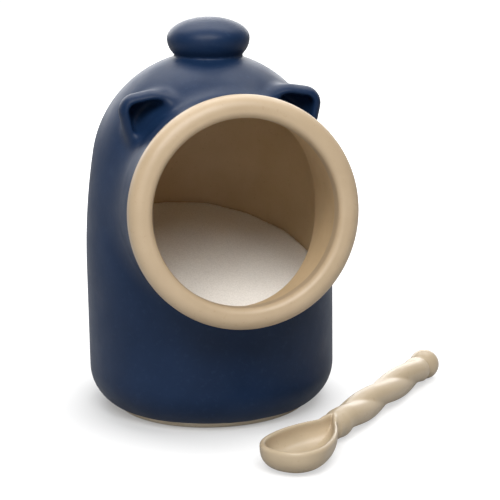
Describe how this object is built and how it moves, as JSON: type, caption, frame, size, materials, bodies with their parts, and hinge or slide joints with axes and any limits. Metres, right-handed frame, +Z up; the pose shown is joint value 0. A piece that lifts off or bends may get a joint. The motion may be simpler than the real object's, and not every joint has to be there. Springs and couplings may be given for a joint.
{
  "type": "salt pig with spoon",
  "caption": "Domed blue stoneware salt pig with a wide rolled cream mouth, cupped ears and a knob, filled with salt, with a twist-handled spoon.",
  "frame": {"origin": "centre of the pot's foot ring, on the table", "axes": "+Z up, -Y out of the mouth, +X to the right of the mouth as seen from in front, with the spoon on that side"},
  "size_m": [0.1788, 0.1836, 0.1887],
  "materials": {
    "blue_glaze": "satin",
    "cream_glaze": "satin",
    "spoon_glaze": "gloss",
    "bare_clay": "matte",
    "salt": "matte"
  },
  "bodies": {
    "pig": {"pot_shell": "blue_glaze", "foot_ring": "bare_clay", "inner_glaze": "cream_glaze", "mouth_neck": "blue_glaze", "mouth_rim": "cream_glaze", "knob": "blue_glaze", "ear_left": "blue_glaze", "ear_right": "blue_glaze", "salt_fill": "salt"},
    "spoon": {"spoon_bowl": "spoon_glaze", "spoon_handle": "spoon_glaze", "spoon_ball_end": "spoon_glaze"}
  },
  "joints": [
    {"name": "spoon_lift", "type": "slide", "parent": "pig", "child": "spoon", "axis": [0.3686, -0.3378, 0.866], "range_m": [0, 0.12]}
  ]
}
